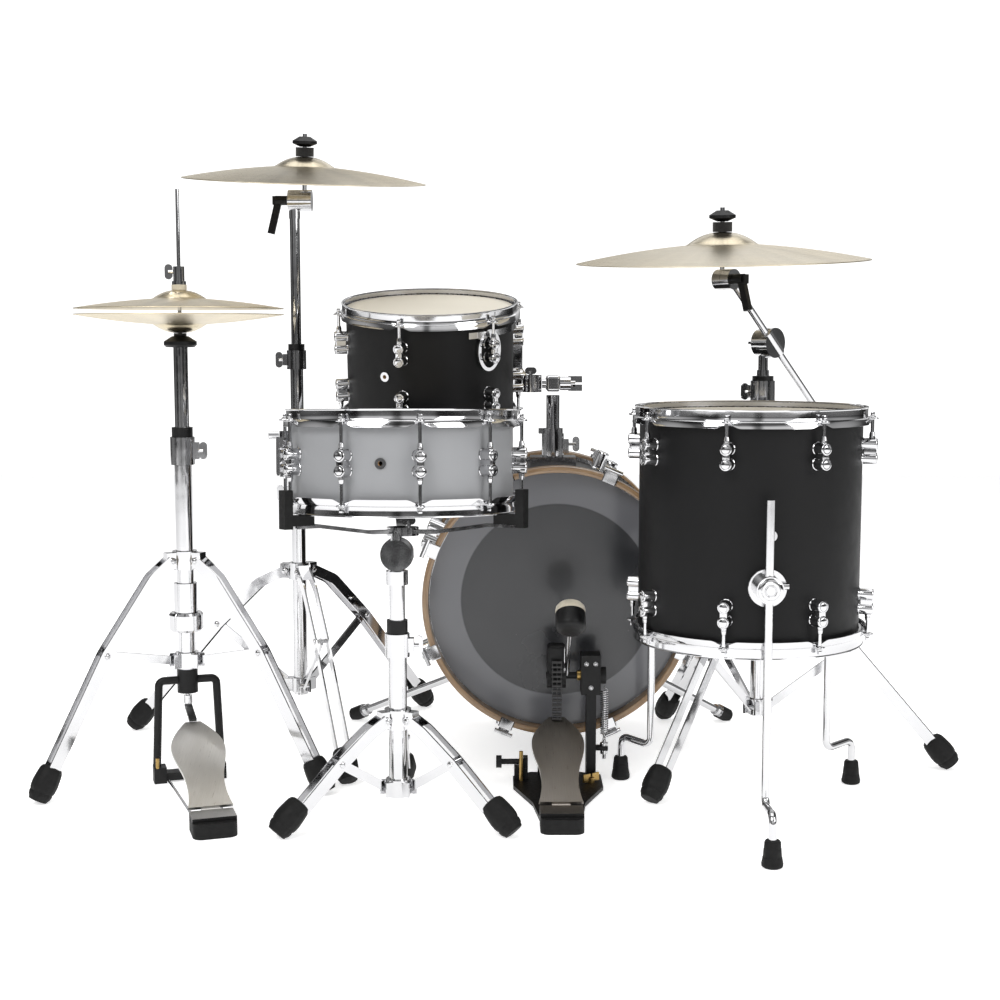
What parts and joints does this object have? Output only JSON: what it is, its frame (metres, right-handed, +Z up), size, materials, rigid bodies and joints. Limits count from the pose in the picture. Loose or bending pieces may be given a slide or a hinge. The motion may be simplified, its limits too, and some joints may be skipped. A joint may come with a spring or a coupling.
{
  "type": "acoustic drum kit",
  "caption": "Compact acoustic drum kit: bass drum with pedal, mounted rack tom, floor tom on legs, snare on a basket stand, hi-hat, crash and boom-mounted ride cymbals.",
  "frame": {"origin": "middle of the kit's footprint on the floor", "axes": "+X to the player's right, +Y away from the player, +Z up"},
  "size_m": [1.6295, 1.0386, 1.1605],
  "materials": {
    "chrome": "polished",
    "shell_black": "satin black lacquer",
    "snare_finish": "faded grey lacquer",
    "coated_head": "coated film",
    "bass_head": "hazy grey film",
    "maple": "clear lacquer",
    "bronze": "brushed and polished",
    "black_metal": "textured powder coat",
    "brushed_board": "brushed",
    "rubber": "matt",
    "felt": "felt",
    "steel_wire": "plain"
  },
  "bodies": {
    "kit": {"bass_shell": "shell_black", "bass_heads": "bass_head", "bass_hoops": "maple", "bass_claws": "chrome", "bass_lugs": "chrome", "bass_shell_brackets": "chrome", "bass_pedal_frame": "black_metal", "bass_pedal_chain": "steel_wire", "bass_pedal_spring": "chrome", "floor_tom_legs": "chrome", "crash_tripod": "chrome", "ride_tripod": "chrome", "snare_tripod": "chrome", "hihat_tripod": "chrome", "rubber_feet": "rubber", "hihat_pedal_frame": "black_metal", "hihat_pedal_chain": "steel_wire"},
    "spur_left": {"bass_spur_left": "chrome"},
    "spur_right": {"bass_spur_right": "chrome"},
    "bass_pedal": {"bass_footboard": "brushed_board"},
    "beater": {"beater_axle": "black_metal", "beater_head": "felt"},
    "tom_post": {"tom_post": "chrome"},
    "rack_tom": {"tom_arm": "chrome", "tom_mount_plate": "chrome", "rack_tom_shell": "shell_black", "rack_tom_heads": "coated_head", "rack_tom_hoops": "chrome", "rack_tom_lugs": "chrome", "rack_tom_tension_rods": "chrome"},
    "floor_tom": {"floor_tom_shell": "shell_black", "floor_tom_heads": "coated_head", "floor_tom_hoops": "chrome", "floor_tom_lugs": "chrome", "floor_tom_tension_rods": "chrome", "floor_tom_leg_brackets": "chrome"},
    "snare_post": {"snare_post": "chrome"},
    "snare": {"snare_basket": "chrome", "snare_basket_grips": "rubber", "snare_shell": "snare_finish", "snare_heads": "coated_head", "snare_hoops": "chrome", "snare_lugs": "chrome", "snare_tension_rods": "chrome", "snare_strainer": "chrome", "snare_wires": "steel_wire"},
    "throw_lever": {"snare_throw_lever": "chrome"},
    "hihat_tube": {"hihat_upper_tube": "chrome", "hihat_bottom_cymbal": "bronze"},
    "hihat_rod": {"hihat_pull_rod": "chrome"},
    "hihat_top": {"hihat_clutch": "chrome", "hihat_top_cymbal": "bronze"},
    "hihat_pedal": {"hihat_footboard": "brushed_board"},
    "crash_tube": {"crash_upper_tube": "chrome"},
    "crash_tilter": {"crash_tilter": "chrome"},
    "crash_cymbal": {"crash_cymbal": "bronze"},
    "ride_tube": {"ride_upper_tube": "chrome"},
    "ride_boom": {"ride_boom_arm": "chrome"},
    "ride_tilter": {"ride_tilter": "chrome"},
    "ride_cymbal": {"ride_cymbal": "bronze"}
  },
  "joints": [
    {"name": "spur_left_fold", "type": "hinge", "parent": "kit", "child": "spur_left", "pos_m": [-0.09705, 0.22516, 0.13097], "axis": [-0.7071, 0, -0.7071], "range_deg": [-35, 0]},
    {"name": "spur_right_fold", "type": "hinge", "parent": "kit", "child": "spur_right", "pos_m": [0.26301, 0.22516, 0.13097], "axis": [0.7071, 0, -0.7071], "range_deg": [0, 35]},
    {"name": "bass_pedal_hinge", "type": "hinge", "parent": "kit", "child": "bass_pedal", "pos_m": [0.07898, -0.29117, 0.02666], "axis": [1, 0, 0], "range_deg": [-16, 0], "stiffness_Nm_per_rad": 1.5, "springref_deg": 45.84, "deforming": ["bass_pedal_chain"]},
    {"name": "beater_swing", "type": "hinge", "parent": "kit", "child": "beater", "pos_m": [0.07898, -0.05484, 0.19], "axis": [1, 0, 0], "range_deg": [-63, 0], "stiffness_Nm_per_rad": 0.4, "springref_deg": 45.84, "deforming": ["bass_pedal_spring"]},
    {"name": "tom_height", "type": "slide", "parent": "kit", "child": "tom_post", "axis": [0, 0, 1], "range_m": [-0.02, 0.05]},
    {"name": "tom_tilt", "type": "hinge", "parent": "tom_post", "child": "rack_tom", "pos_m": [0.03998, 0.20016, 0.694], "axis": [1, 0, 0], "range_deg": [-12, 3]},
    {"name": "floor_tom_height", "type": "slide", "parent": "kit", "child": "floor_tom", "axis": [0, 0, 1], "range_m": [-0.03, 0.05]},
    {"name": "snare_height", "type": "slide", "parent": "kit", "child": "snare_post", "axis": [0, 0, 1], "range_m": [-0.05, 0.05]},
    {"name": "snare_tilt", "type": "hinge", "parent": "snare_post", "child": "snare", "pos_m": [-0.18602, -0.26484, 0.434], "axis": [0, 0.9988, -0.0489], "range_deg": [-8, 8]},
    {"name": "strainer_throw", "type": "hinge", "parent": "snare", "child": "throw_lever", "pos_m": [-0.3717, -0.28766, 0.56627], "axis": [0.1977, -0.9791, 0.0479], "range_deg": [0, 60]},
    {"name": "hihat_height", "type": "slide", "parent": "kit", "child": "hihat_tube", "axis": [0, 0, 1], "range_m": [-0.04, 0.08]},
    {"name": "hihat_pedal_hinge", "type": "hinge", "parent": "kit", "child": "hihat_pedal", "pos_m": [-0.48416, -0.31325, 0.02666], "axis": [0.9511, 0.309, 0], "range_deg": [-2, 0], "stiffness_Nm_per_rad": 3, "springref_deg": 28.65, "deforming": ["hihat_pedal_chain"]},
    {"name": "hihat_pull", "type": "slide", "parent": "kit", "child": "hihat_rod", "axis": [0, 0, 1], "range_m": [-0.008, 0], "stiffness_N_per_m": 2000, "springref_m": 0.015},
    {"name": "hihat_clutch_height", "type": "slide", "parent": "hihat_rod", "child": "hihat_top", "axis": [0, 0, 1], "range_m": [-0.04, 0.08]},
    {"name": "crash_height", "type": "slide", "parent": "kit", "child": "crash_tube", "axis": [0, 0, 1], "range_m": [-0.05, 0.08]},
    {"name": "crash_tilt", "type": "hinge", "parent": "crash_tube", "child": "crash_tilter", "pos_m": [-0.39802, 0.24316, 1.038], "axis": [1, 0, 0], "range_deg": [-15, 12]},
    {"name": "crash_spin", "type": "hinge", "parent": "crash_tilter", "child": "crash_cymbal", "pos_m": [-0.39002, 0.24316, 1.038], "axis": [0.0349, -0.1218, 0.9919], "continuous": true},
    {"name": "ride_height", "type": "slide", "parent": "kit", "child": "ride_tube", "axis": [0, 0, 1], "range_m": [-0.02, 0.1]},
    {"name": "ride_boom_tilt", "type": "hinge", "parent": "ride_tube", "child": "ride_boom", "pos_m": [0.46109, 0.06815, 0.771], "axis": [0.6575, -0.7534, 0], "range_deg": [-8, 20]},
    {"name": "ride_tilt", "type": "hinge", "parent": "ride_boom", "child": "ride_tilter", "pos_m": [0.37364, -0.01043, 0.881], "axis": [0.6575, -0.7534, 0], "range_deg": [-15, 15]},
    {"name": "ride_spin", "type": "hinge", "parent": "ride_tilter", "child": "ride_cymbal", "pos_m": [0.36752, -0.00342, 0.881], "axis": [-0.0209, -0.0767, 0.9968], "continuous": true}
  ],
  "couplings": [
    {"joint": "beater_swing", "follows": "bass_pedal_hinge", "ratio": 3.9},
    {"joint": "hihat_pull", "follows": "hihat_pedal_hinge", "m_per_rad": 0.22},
    {"joint": "hihat_clutch_height", "follows": "hihat_height", "ratio": 1}
  ]
}
